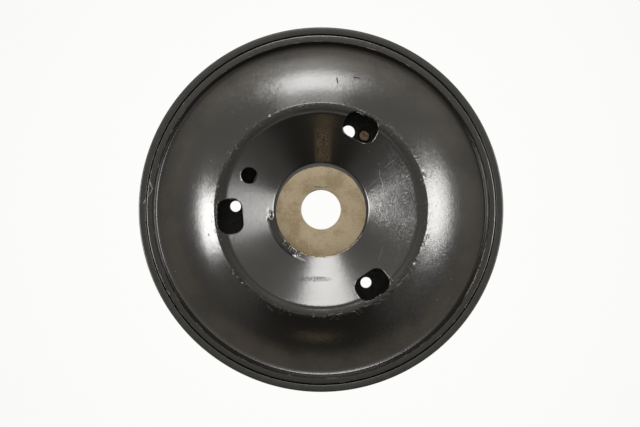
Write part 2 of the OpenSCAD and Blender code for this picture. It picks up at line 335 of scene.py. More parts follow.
def blackPaint():
    look = blackPaintLook
    mat, tree, shader = newFinish("blackPaint")
    place, x, y, z, radius, angle = objectPlace(tree)
    grains = addNode(tree, "ShaderNodeTexVoronoi", {"Vector": place, "Scale": look["grainScale"]})
    peel = speckle(tree, place, look["peelScale"], 2.0)
    grain = speckle(tree, place, look["gritScale"], 2.0, 0.6)
    cloud = speckle(tree, place, 70, 3.0)
    chipNoise = speckle(tree, place, 900, 4.0, 0.7)
    # noise for the painted reflection speckles on the strip
    paintedReflectionGrain = speckle(tree, place, 2300, 1.0)
    # coarser paint on the right of the casting and on the strip
    right = ramp(tree, x, 12 * mm, 34 * mm)
    funnel = ramp(tree, radius, 41 * mm, 43 * mm, 1.0, 0.0)
    strip = stripMask(tree, x, y)
    grit = times(tree, right, plus(tree, times(tree, funnel, 0.7), 0.2))
    grit = plus(tree, grit, calc(tree, "MULTIPLY_ADD", funnel, -0.35, 0.5))
    grit = plus(tree, grit, times(tree, strip, 0.5))
    wear = paintWear(tree, place, z, radius, angle, cloud, chipNoise)
    base = paintTone(tree, x, y, z, radius, angle, cloud, chipNoise, strip, paintedReflectionGrain, wear)
    rough = plus(tree, times(tree, cloud, 0.10), look["roughness"] - 0.05)
    rough = plus(tree, rough, times(tree, right, ramp(tree, radius, 41 * mm, 43 * mm, 0.05, 0.02)))
    rough = plus(tree, rough, times(tree, wear, 0.25))
    gloss = paintGloss(tree, place, x, y, radius, grain, paintPits(tree, place, radius))
    height = plus(tree, times(tree, peel, 0.14), times(tree, grain, grit))
    height = minus(tree, height, times(tree, wear, 1.2))
    bump = addNode(tree, "ShaderNodeBump", {"Strength": 1.0, "Distance": look["bumpHeight"],
                                            "Height": height, "Normal": grainNormal(tree, grains, grit)})
    tree.links.new(times(tree, gloss, 0.5), shader.inputs["Specular IOR Level"])
    tree.links.new(base, shader.inputs["Base Color"])
    tree.links.new(rough, shader.inputs["Roughness"])
    tree.links.new(bump.outputs[0], shader.inputs["Normal"])
    return mat


# Machined face of the hub sleeve, with the bare seat that was cut a little off centre
hubFaceLook = {
    "seatRadius": 19.85 * mm,
    "seatOffset": -0.85 * mm,
    "light": colour(0.150, 0.120, 0.078),
    "brown": colour(0.102, 0.076, 0.040),
    "pale": colour(0.21, 0.178, 0.130),
    "paint": colour(0.006, 0.0055, 0.0045),
}


def bareSteel():
    look = hubFaceLook
    mat, tree, shader = newFinish("bareSteel")
    place, x, y, z, radius, angle = objectPlace(tree)
    cloud = speckle(tree, place, 130, 4.0, 0.55)
    fine = speckle(tree, place, 1400, 3.0, 0.6)
    turned = polarPlace(tree, radius, angle, z, 0.002)
    rings = speckle(tree, turned, 2400, 2.0, 0.5)
    pits = speckle(tree, place, 800, 2.0, 0.5)
    pitMask = ramp(tree, pits, 0.70, 0.76)
    base = blend(tree, ramp(tree, cloud, 0.40, 0.68, 0.0, 0.9), look["light"], look["brown"])
    base = blend(tree, times(tree, ramp(tree, fine, 0.5, 0.75), 0.5), base, look["pale"])
    base = blend(tree, times(tree, pitMask, 0.8), base, gray(0.03))
    # paint outside the off-centre seat, with a ragged edge at the lower right
    offY = minus(tree, y, look["seatOffset"])
    away = distance(tree, x, offY)
    ragged = speckle(tree, place, 700, 3.0, 0.7)
    edge = plus(tree, away, times(tree, minus(tree, ragged, 0.5), 0.9 * mm))
    front = ramp(tree, z, 27.5 * mm, 28.2 * mm)
    painted = times(tree, ramp(tree, edge, look["seatRadius"] - 0.08 * mm,
                                          look["seatRadius"] + 0.08 * mm), front)
    base = blend(tree, painted, base, look["paint"])
    marks = times(tree, strokeMask(tree, place, seatMarks), times(tree, front, 0.75))
    base = blend(tree, times(tree, marks, ramp(tree, ragged, 0.35, 0.5)), base, gray(0.02))
    dull = minus(tree, 0.5, times(tree, painted, 0.08))
    tree.links.new(dull, shader.inputs["Specular IOR Level"])
    tree.links.new(base, shader.inputs["Base Color"])
    metal = times(tree, minus(tree, 1.0, painted), 0.55)
    tree.links.new(metal, shader.inputs["Metallic"])
    rough = plus(tree, times(tree, fine, 0.2), 0.36)
    tree.links.new(rough, shader.inputs["Roughness"])
    height = plus(tree, times(tree, rings, 0.5), times(tree, fine, 0.3))
    height = minus(tree, height, pitMask)
    height = plus(tree, height, times(tree, painted, 1.5))
    bump = addNode(tree, "ShaderNodeBump", {"Strength": 0.6, "Distance": 0.00003, "Height": height})
    tree.links.new(bump.outputs[0], shader.inputs["Normal"])
    return mat


# Finishes of the other pieces: two tones, how they mix, gloss, metal and surface grain
plainLooks = {
    "ringCoat": {"a": colour(0.0028, 0.0028, 0.0021), "b": colour(0.0050, 0.0048, 0.0036), "scale": 260,
                 "rough": (0.30, 0.38), "metal": 0.0, "grain": 1700, "height": 0.000012,
                 "gloss": 0.38, "strokes": rimHair, "strokeTone": gray(0.12), "strokesAbove": 33 * mm},
    "rearPaint": {"a": colour(0.0075, 0.0072, 0.0066), "b": colour(0.018, 0.015, 0.012), "scale": 120,
                  "rough": (0.38, 0.62), "metal": 0.0, "grain": 900, "height": 0.00002,
                  "strokes": plateMarks, "strokeTone": gray(0.035), "strokesAbove": 7 * mm},
    "rivetSteel": {"a": colour(0.16, 0.15, 0.14), "b": colour(0.09, 0.065, 0.045), "scale": 420,
                   "rough": (0.32, 0.55), "metal": 0.85, "grain": 1500, "height": 0.00002},
    "dowelSteel": {"a": colour(0.62, 0.46, 0.30), "b": colour(0.30, 0.19, 0.10), "scale": 500,
                   "rough": (0.34, 0.6), "metal": 0.5, "grain": 1600, "height": 0.00002},
    "sleeveSteel": {"a": colour(0.42, 0.42, 0.44), "b": colour(0.30, 0.29, 0.28), "scale": 200,
                    "rough": (0.28, 0.42), "metal": 1.0, "grain": 1300, "height": 0.00001},
    "isolatorRubber": {"a": colour(0.016, 0.016, 0.017), "b": colour(0.030, 0.028, 0.026), "scale": 300,
                       "rough": (0.65, 0.85), "metal": 0.0, "grain": 1100, "height": 0.00003},
    "slidePlastic": {"a": colour(0.020, 0.020, 0.019), "b": colour(0.034, 0.032, 0.028), "scale": 240,
                     "rough": (0.42, 0.6), "metal": 0.0, "grain": 1500, "height": 0.00001},
    "zincSteel": {"a": colour(0.36, 0.36, 0.37), "b": colour(0.24, 0.22, 0.19), "scale": 260,
                  "rough": (0.28, 0.5), "metal": 0.95, "grain": 1400, "height": 0.00001},
    "damperRubber": {"a": colour(0.014, 0.014, 0.015), "b": colour(0.026, 0.025, 0.024), "scale": 300,
                     "rough": (0.7, 0.88), "metal": 0.0, "grain": 1000, "height": 0.00003},
    "ringIron": {"a": colour(0.085, 0.083, 0.08), "b": colour(0.13, 0.10, 0.075), "scale": 180,
                 "rough": (0.5, 0.75), "metal": 0.5, "grain": 800, "height": 0.00004},
}


def plainFinish(name):
    look = plainLooks[name]
    mat, tree, shader = newFinish(name)
    place, x, y, z, radius, angle = objectPlace(tree)
    cloud = speckle(tree, place, look["scale"], 3.0, 0.6)
    grain = speckle(tree, place, look["grain"], 3.0, 0.6)
    turned = polarPlace(tree, radius, angle, z, 0.004)
    lathe = speckle(tree, turned, 2200, 2.0)
    base = blend(tree, ramp(tree, cloud, 0.38, 0.66), look["a"], look["b"])
    if "strokes" in look:
        mask = times(tree, strokeMask(tree, place, look["strokes"], 0.25), ramp(tree, grain, 0.30, 0.44))
        mask = times(tree, mask, calc(tree, "GREATER_THAN", z, look["strokesAbove"]))
        base = blend(tree, mask, base, look["strokeTone"])
    tree.links.new(base, shader.inputs["Base Color"])
    low, high = look["rough"]
    rough = ramp(tree, grain, 0.3, 0.7, low, high)
    tree.links.new(rough, shader.inputs["Roughness"])
    shader.inputs["Metallic"].default_value = look["metal"]
    shader.inputs["Specular IOR Level"].default_value = look.get("gloss", 0.5)
    height = plus(tree, times(tree, grain, 0.7), times(tree, lathe, 0.4))
    bump = addNode(tree, "ShaderNodeBump", {"Strength": 0.8, "Distance": look["height"], "Height": height})
    tree.links.new(bump.outputs[0], shader.inputs["Normal"])
    return mat


finishes = {name: plainFinish(name) for name in plainLooks}
finishes["blackPaint"] = blackPaint()
finishes["bareSteel"] = bareSteel()
print("finishes made:", len(finishes))


def linkMesh(mesh, name):
    piece = bpy.data.objects.new(name, mesh)
    scene.collection.objects.link(piece)
    return piece


def tidyNormals(mesh, sharpDegrees):
    work = bmesh.new()
    work.from_mesh(mesh)
    bmesh.ops.remove_doubles(work, verts=work.verts, dist=1e-7)
    bmesh.ops.recalc_face_normals(work, faces=work.faces)
    work.to_mesh(mesh)
    work.free()
    mesh.shade_smooth()
    mesh.set_sharp_from_angle(angle=math.radians(sharpDegrees))


def plainCopy(piece, name):
    # the evaluated piece as a plain mesh object; the working piece goes
    graph = bpy.context.evaluated_depsgraph_get()
    mesh = bpy.data.meshes.new_from_object(piece.evaluated_get(graph))
    bpy.data.objects.remove(piece)
    made = linkMesh(mesh, name)
    mesh.name = name
    return made


def finishPiece(piece, finish, body, nodes):
    piece.data.materials.clear()
    piece.data.materials.append(finishes[finish])
    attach(piece, body)
    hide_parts(*nodes)
    return piece


def ringRows(rows, bend):
    # closed skin of revolution: each row is (radius, height, segments) in mm; neighbours may differ 2:1
    verts, faces, starts = [], [], []
    for r, z, count in rows:
        starts.append(len(verts))
        for k in range(count):
            a = 360 * k / count
            br, bz = bend(r, z, a)
            verts.append((br * mm * math.cos(math.radians(a)), br * mm * math.sin(math.radians(a)), bz * mm))
    for i, (r, z, count) in enumerate(rows):
        j = (i + 1) % len(rows)
        other = rows[j][2]
        a0, b0 = starts[i], starts[j]
        if count == other:
            for k in range(count):
                n = (k + 1) % count
                faces.append((a0 + k, a0 + n, b0 + n, b0 + k))
        elif count == 2 * other:
            for k in range(other):
                n = (k + 1) % other
                p, q, t = a0 + 2 * k, a0 + 2 * k + 1, a0 + (2 * k + 2) % count
                faces += [(p, q, b0 + k), (q, b0 + n, b0 + k), (q, t, b0 + n)]
        else:
            for k in range(count):
                n = (k + 1) % count
                p, q, t = b0 + 2 * k, b0 + 2 * k + 1, b0 + (2 * k + 2) % other
                faces += [(a0 + k, q, p), (a0 + k, a0 + n, q), (a0 + n, t, q)]
    mesh = bpy.data.meshes.new("rows")
    mesh.from_pydata(verts, [], faces)
    return mesh


def newShapeTree(name, inputs):
    # a Geometry Nodes tree with named inputs for its sizes and its finish
    tree = bpy.data.node_groups.new(name, "GeometryNodeTree")
    face = tree.interface
    face.new_socket("Geometry", in_out="INPUT", socket_type="NodeSocketGeometry")
    for label, kind in inputs + (("Finish", "Material"),):
        face.new_socket(label, in_out="INPUT", socket_type="NodeSocket" + kind)
    face.new_socket("Geometry", in_out="OUTPUT", socket_type="NodeSocketGeometry")
    return tree, tree.nodes.new("NodeGroupInput").outputs


def endShapeTree(tree, shape, finish):
    whole = addNode(tree, "GeometryNodeRealizeInstances", {0: shape})
    coat = addNode(tree, "GeometryNodeSetMaterial", {"Geometry": whole.outputs[0], "Material": finish})
    out = tree.nodes.new("NodeGroupOutput")
    tree.links.new(coat.outputs[0], out.inputs[0])
    return tree


def makeTurnTree():
    # a closed profile with its own corner radii, swept round the axis
    tree, given = newShapeTree("turnedPiece", (("Path radius", "Float"), ("Turn segments", "Int"),
                                               ("Corner steps", "Int")))
    profile = addNode(tree, "GeometryNodeMeshToCurve", {0: given["Geometry"]})
    corner = addNode(tree, "GeometryNodeInputNamedAttribute", {"Name": "corner"}, data_type="FLOAT")
    fillet = addNode(tree, "GeometryNodeFilletCurve",
                     {"Curve": profile.outputs[0], "Count": given["Corner steps"],
                      "Radius": corner.outputs["Attribute"], "Limit Radius": True}, mode="POLY")
    path = addNode(tree, "GeometryNodeCurvePrimitiveCircle",
                   {"Resolution": given["Turn segments"], "Radius": given["Path radius"]}, mode="RADIUS")
    skin = addNode(tree, "GeometryNodeCurveToMesh",
                   {"Curve": path.outputs[0], "Profile Curve": fillet.outputs[0]})
    return endShapeTree(tree, skin.outputs[0], given["Finish"])


def setInput(modifier, name, value):
    for item in modifier.node_group.interface.items_tree:
        if item.item_type == "SOCKET" and item.in_out == "INPUT" and item.name == name:
            modifier[item.identifier] = value


def runShapeTree(piece, tree, settings, name, sharp=40):
    # the tree's result as a plain mesh
    modifier = piece.modifiers.new("shape", "NODES")
    modifier.node_group = tree
    for key, value in settings.items():
        setInput(modifier, key, value)
    made = plainCopy(piece, name)
    tidyNormals(made.data, sharp)
    return made


turnTree = makeTurnTree()
turnPath = 0.05          # radius of the sweep's path; profiles are measured from it


def turned(name, profile, finish, segments=256, cornerSteps=3):
    # profile: (radius, height, corner radius) in mm, closed; the sweep turns its own up side down
    mesh = bpy.data.meshes.new(name + "Profile")
    points = [(r * mm - turnPath, -z * mm, 0) for r, z, c in profile]
    count = len(points)
    mesh.from_pydata(points, [(i, (i + 1) % count) for i in range(count)], [])
    corner = mesh.attributes.new("corner", "FLOAT", "POINT")
    corner.data.foreach_set("value", [c * mm for r, z, c in profile])
    settings = {"Path radius": turnPath, "Turn segments": segments, "Corner steps": cornerSteps,
                "Finish": finishes[finish]}
    return runShapeTree(linkMesh(mesh, name + "Work"), turnTree, settings, name)


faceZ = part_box("belt_ring")[1].z
studio = {
    "lens": 100,
    "sensor": 36,
    "fieldWidth": 0.2806,             # width that the picture covers at the rim's face
    "offset": (-0.00046, -0.00169),   # where the camera's axis meets the rim's face
}


def makeCamera():
    data = bpy.data.cameras.new("camera")
    data.lens = studio["lens"]
    data.sensor_width = studio["sensor"]
    data.clip_start, data.clip_end = 0.05, 20
    camera = bpy.data.objects.new("camera", data)
    scene.collection.objects.link(camera)
    away = studio["lens"] * studio["fieldWidth"] / studio["sensor"]
    camera.location = (studio["offset"][0], studio["offset"][1], faceZ + away)
    scene.camera = camera


# Soft boxes: angle round the axis, angle from straight up, size across and along, brightness
softBoxes = {
    "backBox": {"turn": 94, "lean": 48.5, "size": (0.42, 0.42), "power": 10.0},
    "backTop": {"turn": 96, "lean": 27, "size": (0.22, 0.22), "power": 0.8},
    "backLow": {"turn": 95, "lean": 69, "size": (0.56, 0.24), "power": 1.9},
    "leftBox": {"turn": 185.5, "lean": 71, "size": (0.50, 0.50), "power": 21.0},
    "rightBox": {"turn": 1, "lean": 65, "size": (0.54, 0.60), "power": 17.6},
    "rightLow": {"turn": 0, "lean": 69, "size": (0.95, 0.38), "power": 6.0},
    "warmCard": {"turn": 268, "lean": 50, "size": (0.13, 0.12), "power": 0.115, "tint": (1.0, 0.72, 0.42)},
}


def makeLights():
    for name, box in softBoxes.items():
        data = bpy.data.lights.new(name, "AREA")
        data.shape = "RECTANGLE"
        data.size, data.size_y = box["size"]
        data.energy = box["power"]
        data.color = box.get("tint", (1.0, 0.99, 0.97))
        lamp = bpy.data.objects.new(name, data)
        scene.collection.objects.link(lamp)
        turn, lean = math.radians(box["turn"]), math.radians(box["lean"])
        out = Vector((math.sin(lean) * math.cos(turn), math.sin(lean) * math.sin(turn), math.cos(lean)))
        lamp.location = out * 1.0 + Vector((0, 0, faceZ))
        lamp.rotation_mode = "QUATERNION"
        lamp.rotation_quaternion = out.to_track_quat("Z", "Y")


def makeWorld():
    # pale room, a little brighter behind, with a dark stretch in front where the camera stand is
    world = bpy.data.worlds.new("room")
    scene.world = world
    world.use_nodes = True
    tree = world.node_tree
    background = tree.nodes["Background"]
    way = addNode(tree, "ShaderNodeTexCoord").outputs["Generated"]
    x, y, z = addNode(tree, "ShaderNodeSeparateXYZ", {0: way}).outputs
    turn = calc(tree, "ABSOLUTE", calc(tree, "ARCTAN2", x, times(tree, y, -1.0)))
    front = ramp(tree, turn, math.radians(24), math.radians(44), 1.0, 0.0)
    low = ramp(tree, z, 0.82, 1.0, 1.0, 0.0)
    dark = times(tree, front, low)
    level = ramp(tree, y, -0.2, 0.2, 0.65, 1.2)
    level = times(tree, level, minus(tree, 1.0, times(tree, dark, 0.9)))
    tree.links.new(level, background.inputs["Strength"])
    background.inputs["Color"].default_value = colour(1.0, 0.97, 0.90)


def makeFloor():
    # a light table
    mesh = bpy.data.meshes.new("lightTable")
    half, level = 1.5, -0.0006
    mesh.from_pydata([(-half, -half, level), (half, -half, level), (half, half, level), (-half, half, level)],
                     [], [(0, 1, 2, 3)])
    table = linkMesh(mesh, "lightTable")
    mat, tree, shader = newFinish("lightTable")
    radius = objectPlace(tree)[4]
    glow = ramp(tree, radius, 0.08, 0.18, 0.976, 0.948)
    shader.inputs["Base Color"].default_value = gray(0.0)
    shader.inputs["Roughness"].default_value = 0.7
    shader.inputs["Specular IOR Level"].default_value = 0.0
    shader.inputs["Emission Color"].default_value = colour(1.0, 1.0, 0.985)
    tree.links.new(glow, shader.inputs["Emission Strength"])
    below = addNode(tree, "ShaderNodeNewGeometry").outputs["Backfacing"]
    clear = addNode(tree, "ShaderNodeBsdfTransparent").outputs[0]
    pick = addNode(tree, "ShaderNodeMixShader", {0: below, 1: shader.outputs[0], 2: clear})
    tree.links.new(pick.outputs[0], tree.nodes["Material Output"].inputs["Surface"])
    mesh.materials.append(mat)


makeCamera()
makeLights()
makeWorld()
makeFloor()
scene.view_settings.view_transform = "Standard"
print("camera, lights and table made")


# Front casting: sizes in mm, directions in degrees
cast = {
    "rimOuter": 76.5, "rimInner": 73.7, "rimRound": 0.45,
    "dishStart": 70.6, "dishDepth": 1.6, "stepStart": 70.5, "stepCurve": 4.2,
    "sweep": 39.5, "ridge": 46.5, "land": 3.5, "funnelAngle": 26, "wall": 5,
    "drumOuter": 67, "drumInner": 63.5, "drumLow": 2.8, "flangeLow": 29.4,
    "seat": 20.82, "seatTop": 29.3, "tube": 25.2, "tubeFlange": 33.8, "tubeLow": 8, "flangeHigh": 12,
    "pocketAngles": (64.3, 184.3, 304.3), "pocketRadius": 39.8, "pocketLong": 15.2, "pocketWide": 11.2,
    "pocketCorner": 4.4, "pocketInset": 0.12, "pocketFlare": 0.4, "pocketRag": 0.4,
    "timingAngle": 154.6, "timingRadius": 34.8, "timingHole": 3.4, "timingFlare": 0.3, "holeLow": 14,
    "padHigh": 30.55, "fineTurns": 768,
}
# Knocks on the ridge: angle, radius, half length round the turn, half width, depth (mm)
ridgeKnocks = [
    (19, 47.7, 1.8, 0.5, 0.13), (16.5, 47.0, 1.0, 0.4, 0.1), (-15.5, 48.0, 1.6, 0.5, 0.15),
    (-19, 46.9, 2.0, 0.5, 0.14), (41, 46.6, 1.0, 0.4, 0.15), (118, 46.5, 0.8, 0.4, 0.15),
    (149, 46.6, 0.8, 0.5, 0.15), (215, 47.3, 1.0, 0.5, 0.2), (222, 46.8, 0.8, 0.5, 0.2),
    (248, 46.6, 0.9, 0.4, 0.15), (292, 46.7, 1.2, 0.5, 0.2), (310, 47.0, 1.4, 0.5, 0.22),
    (331, 46.8, 1.0, 0.5, 0.2),
]
faceMm = faceZ / mm
dishZ = faceMm - cast["dishDepth"]
sweepZ = dishZ + cast["sweep"]
ridgeZ = sweepZ - math.sqrt(cast["sweep"] ** 2 - (cast["dishStart"] - cast["ridge"]) ** 2)
funnelSlope = math.tan(math.radians(cast["funnelAngle"]))
funnelTop = cast["ridge"] - cast["land"]


def funnelZ(r):
    # height of the funnel and of the ridge's land, with a soft turn between them
    cone = ridgeZ - (funnelTop - r) * funnelSlope
    land = ridgeZ - (cast["ridge"] - r) * 0.08
    soft = 0.12
    h = min(max(0.5 + 0.5 * (land - cone) / soft, 0), 1)
    return land + (cone - land) * h - soft * h * (1 - h) * 0.5


def padMask(r, angle):
    # the flat pad beside the hub that carries the cast marks
    along = smooth(28, 23, angleApart(angle, 214))
    return along * smooth(24.2, 23.7, r) * smooth(20.9, 21.2, r)


def bendCasting(r, z, angle):
    if z < ridgeZ - 14 or r > 60 and z < dishZ - 1:
        return r, z
    a = math.radians(angle)
    where = Vector((math.cos(a) * r, math.sin(a) * r, 0))
    # uneven crest, worn more on the right and at the bottom
    crest = math.exp(-((r - cast["ridge"]) / 0.5) ** 2)
    worn = 0.35 + 0.65 * max(smooth(75, 45, angleApart(angle, 8)), smooth(60, 35, angleApart(angle, 265)))
    band = smooth(45.2, 45.9, r) * smooth(48.6, 47.2, r)
    if band > 0:
        nearCrest = Vector((math.cos(a) * cast["ridge"], math.sin(a) * cast["ridge"], r * 2.6))
        z -= 0.16 * band * worn * max(0.0, noise.noise(nearCrest * 0.9) + 0.05)
        z -= 0.10 * band * worn * max(0.0, noise.noise(nearCrest * 2.1 + Vector((3, 0, 0))))
        z -= 0.06 * crest
    r += crest * 0.13 * worn * noise.noise(where * 0.9)
    # the land's inner corner is rounded unevenly
    uneven = 0.7 + 0.8 * noise.noise(where * 0.10 + Vector((0, 0, 2)))
    z -= 0.22 * math.exp(-((r - funnelTop) / 0.9) ** 2) * uneven
    for knockAngle, knockR, halfLong, halfWide, depth in ridgeKnocks:
        along = math.radians((angle - knockAngle + 180) % 360 - 180) * r
        u, v = along / halfLong, (r - knockR) / halfWide
        d2 = u * u + v * v
        if d2 < 9:
            wobble = 1 + 0.7 * noise.noise(where * 1.8 + Vector((0, 0, 9)))
            z -= depth * wobble * math.exp(-d2) - 0.2 * depth * math.exp(-((math.sqrt(d2) - 1.7) / 0.5) ** 2)
    # the funnel bulges a little on the right
    if cast["seat"] < r < funnelTop and z > ridgeZ - 12:
        t = (r - cast["seat"]) / (funnelTop - cast["seat"])
        z += 0.36 * 4 * t * (1 - t) * smooth(18, 3, angleApart(angle, 6))
    pad = padMask(r, angle)
    if pad > 0:
        z += (cast["padHigh"] - z) * pad
    # slow unevenness of the casting
    if cast["ridge"] < r < cast["dishStart"]:
        z += 0.012 * noise.noise(where * 0.12)
    return r, min(z, ridgeZ - 0.005)


def frontRows():
    # rim, step, dish, ridge and funnel, down to the hub sleeve's face
    fine = cast["fineTurns"]
    half = fine // 2
    rim, inner, edge, ridge, seat = (cast[k] for k in ("rimOuter", "rimInner", "rimRound", "ridge", "seat"))
    rows = [(rim, cast["flangeLow"], half), (rim, faceMm - 2, half)]
    rows += [(r, z, half) for r, z in arcPoints(rim - edge, faceMm - edge, edge, 0, 90, 6)]
    rows += [(inner + 1.2, faceMm, half)]
    rows += [(r, z, half) for r, z in arcPoints(inner + 0.08, faceMm - 0.15, 0.15, 90, 165, 5)]
    foot = arcPoints(cast["stepStart"], dishZ + cast["stepCurve"], cast["stepCurve"], -64, -88, 8)
    rows += [(foot[0][0] + 0.70, foot[0][1] + 0.72, half), (foot[0][0] + 0.04, foot[0][1] + 0.05, half)]
    rows += [(r, z, half) for r, z in foot]
    endAngle = -math.degrees(math.acos((ridge + 0.25 - cast["dishStart"]) / cast["sweep"]))
    for r, z in arcPoints(cast["dishStart"], sweepZ, cast["sweep"], -90, endAngle, 34):
        if r > 49.6:
            rows.append((r, z, half if r > 52 else fine))
    rows += [(ridge + d, topSurface(ridge + d), fine) for d in np.arange(3.0, 0.2, -0.2)]
    crest = ((0.12, 0.09), (0.0, 0.03), (-0.15, 0.02), (-0.35, 0.03))
    rows += [(ridge + d, ridgeZ - drop, fine) for d, drop in crest]
    r = ridge - 0.7
    while r > seat + 0.35:
        rows.append((r, funnelZ(r), fine))
        r -= 0.3 if r > funnelTop - 1.6 else 0.75 if r > 25 else 0.3
    lip = ((0.22, 0.56), (0.14, 0.5), (0.07, 0.4), (0.02, 0.28), (0.0, 0.14), (0.0, 0.0))
    return rows + [(seat + d, cast["seatTop"] + up, fine) for d, up in lip]


def hiddenRows():
    # tube, rear flange, underside and drum
    quarter = cast["fineTurns"] // 4
    seat, tube, low = cast["seat"], cast["tube"], cast["tubeLow"]
    flange, high = cast["tubeFlange"], cast["flangeHigh"]
    inner, outer, drumLow = cast["drumInner"], cast["drumOuter"], cast["drumLow"]
    rim, rimLow = cast["rimOuter"], cast["flangeLow"]
    under = cast["sweep"] + cast["wall"]
    outline = [(seat, 20), (seat, low + 0.3), (seat + 0.3, low), (flange - 0.4, low), (flange, low + 0.4),
               (flange, high - 0.6), (flange - 0.6, high), (tube + 1.2, high), (tube, high + 1.2)]
    funnelLow = ridgeZ - (funnelTop - tube) * funnelSlope
    outline.append((tube, funnelLow - cast["wall"] / math.cos(math.radians(cast["funnelAngle"]))))
    first = -math.degrees(math.acos((funnelTop + 1.6 - cast["dishStart"]) / under))
    last = -math.degrees(math.acos((inner + 0.8 - cast["dishStart"]) / under))
    outline += arcPoints(cast["dishStart"], sweepZ, under, first, last, 8)
    outline += [(inner, 26.6), (inner, drumLow + 0.4), (inner + 0.4, drumLow), (outer - 0.5, drumLow),
                (outer, drumLow + 0.5), (outer, rimLow - 0.8), (outer + 0.8, rimLow), (rim - 0.8, rimLow)]
    return [(r, z, quarter) for r, z in outline]


def castingRows():
    return frontRows() + [(cast["seat"], 26, cast["fineTurns"] // 2)] + hiddenRows()


def slotOutline(halfWide, halfLong, corner, steps):
    # rounded rectangle: points and outward directions, radius along x
    points = []
    for cx, cy, start in ((1, 1, 0), (-1, 1, 90), (-1, -1, 180), (1, -1, 270)):
        for i in range(steps + 1):
            a = math.radians(start + 90 * i / steps)
            px = cx * (halfWide - corner) + corner * math.cos(a)
            py = cy * (halfLong - corner) + corner * math.sin(a)
            points.append((px, py, math.cos(a), math.sin(a)))
    # points along the straight sides too, so that the rim follows the surface
    full = []
    for i, p in enumerate(points):
        q = points[(i + 1) % len(points)]
        full.append(p)
        gap = math.hypot(q[0] - p[0], q[1] - p[1])
        extra = int(gap / 0.7)
        for k in range(1, extra):
            t = k / extra
            full.append(tuple(p[n] + (q[n] - p[n]) * t for n in range(4)))
    return full


def plugFaces(levels, count):
    # sides and ends of a plug that is made of rings of points
    faces = []
    for level in range(levels - 1):
        low, high = level * count, (level + 1) * count
        for k in range(count):
            n = (k + 1) % count
            faces.append((low + k, low + n, high + n, high + k))
    faces.append(tuple(range(count)))
    faces.append(tuple(reversed(range((levels - 1) * count, levels * count))))
    return faces


def makeCutter(name, outline, angle, radius, surface, bottom, flare, rag):
    # a plug whose mouth flares where it leaves the surface, which rounds the hole's edge
    a = math.radians(angle)
    ca, sa = math.cos(a), math.sin(a)
    steps = [(None, flare), (0.06, flare), (-0.10, flare * 0.5), (-0.28, flare * 0.17), (-0.6, 0.0)]
    verts = []
    count = len(outline)
    for h, out in steps + [("low", 0.0)]:
        for px, py, nx, ny in outline:
            # the side against the ridge is ragged
            ragged = rag * smooth(0.2, 0.9, nx) * noise.noise(Vector((px * 1.1, py * 1.1, angle)))
            ux, uy = px + nx * (out + ragged), py + ny * (out + ragged)
            gx, gy = ca * (radius + ux) - sa * uy, sa * (radius + ux) + ca * uy
            if h is None:
                z = ridgeZ + 3
            elif h == "low":
                z = bottom
            else:
                z = surface(math.hypot(gx, gy)) + h
            verts.append((gx * mm, gy * mm, z * mm))
    mesh = bpy.data.meshes.new(name)
    mesh.from_pydata(verts, [], plugFaces(len(steps) + 1, count))
    work = bmesh.new()
    work.from_mesh(mesh)
    bmesh.ops.recalc_face_normals(work, faces=work.faces)
    work.to_mesh(mesh)
    work.free()
    return linkMesh(mesh, name)


def cutHoles(piece, cutters, name):
    for cutter in cutters:
        modifier = piece.modifiers.new(cutter.name, "BOOLEAN")
        modifier.operation = "DIFFERENCE"
        modifier.solver = "EXACT"
        modifier.object = cutter
    made = plainCopy(piece, name)
    for cutter in cutters:
        bpy.data.objects.remove(cutter)
    return made


def topSurface(r):
    if r < cast["ridge"]:
        return funnelZ(r)
    return sweepZ - math.sqrt(cast["sweep"] ** 2 - (cast["dishStart"] - r) ** 2)


def makeCasting():
    mesh = ringRows(castingRows(), bendCasting)
    piece = linkMesh(mesh, "castingWork")
    tidyNormals(mesh, 60)
    cutters = []
    inset, low = cast["pocketInset"], cast["holeLow"]
    outline = slotOutline(cast["pocketWide"] / 2 - inset, cast["pocketLong"] / 2 - inset,
                          cast["pocketCorner"], 10)
    for angle in cast["pocketAngles"]:
        cutters.append(makeCutter("pocket%d" % angle, outline, angle, cast["pocketRadius"], topSurface, low,
                                  cast["pocketFlare"], cast["pocketRag"]))
    ring = []
    for t in range(0, 360, 6):
        cx, cy = math.cos(math.radians(t)), math.sin(math.radians(t))
        ring.append((cast["timingHole"] * cx, cast["timingHole"] * cy, cx, cy))
    cutters.append(makeCutter("timing", ring, cast["timingAngle"], cast["timingRadius"], topSurface, low,
                              cast["timingFlare"], 0.0))
    made = cutHoles(piece, cutters, "frontCasting")
    addCastMarks(made)
    tidyNormals(made.data, 38)
    return made


# Cast marks on the pad: (direction, distance from the axis, across, thickness, height) for a loop,
# and (direction, length, turn) for a short bar; sizes in mm
castMarks = {
    "loops": [(186.2, 22.1, 2.7, 0.75, 30.75), (244, 22.3, 1.4, 0.45, 30.7)],
    "tail": (190.5, 22.0, 1.5, 60, 30.6),
    "bars": [(221.5, 1.8, 22), (224.5, 1.3, 80), (230, 1.7, 10), (233, 1.7, 12), (236.5, 1.1, 84),
             (239.5, 1.5, 20)],
    "barRadius": 21.9, "barStagger": 0.3, "barHigh": 30.62, "barWide": 0.5,
}


def markPlace(angle, radius, up):
    a = math.radians(angle)
    return Vector((math.cos(a) * radius, math.sin(a) * radius, up)) * mm


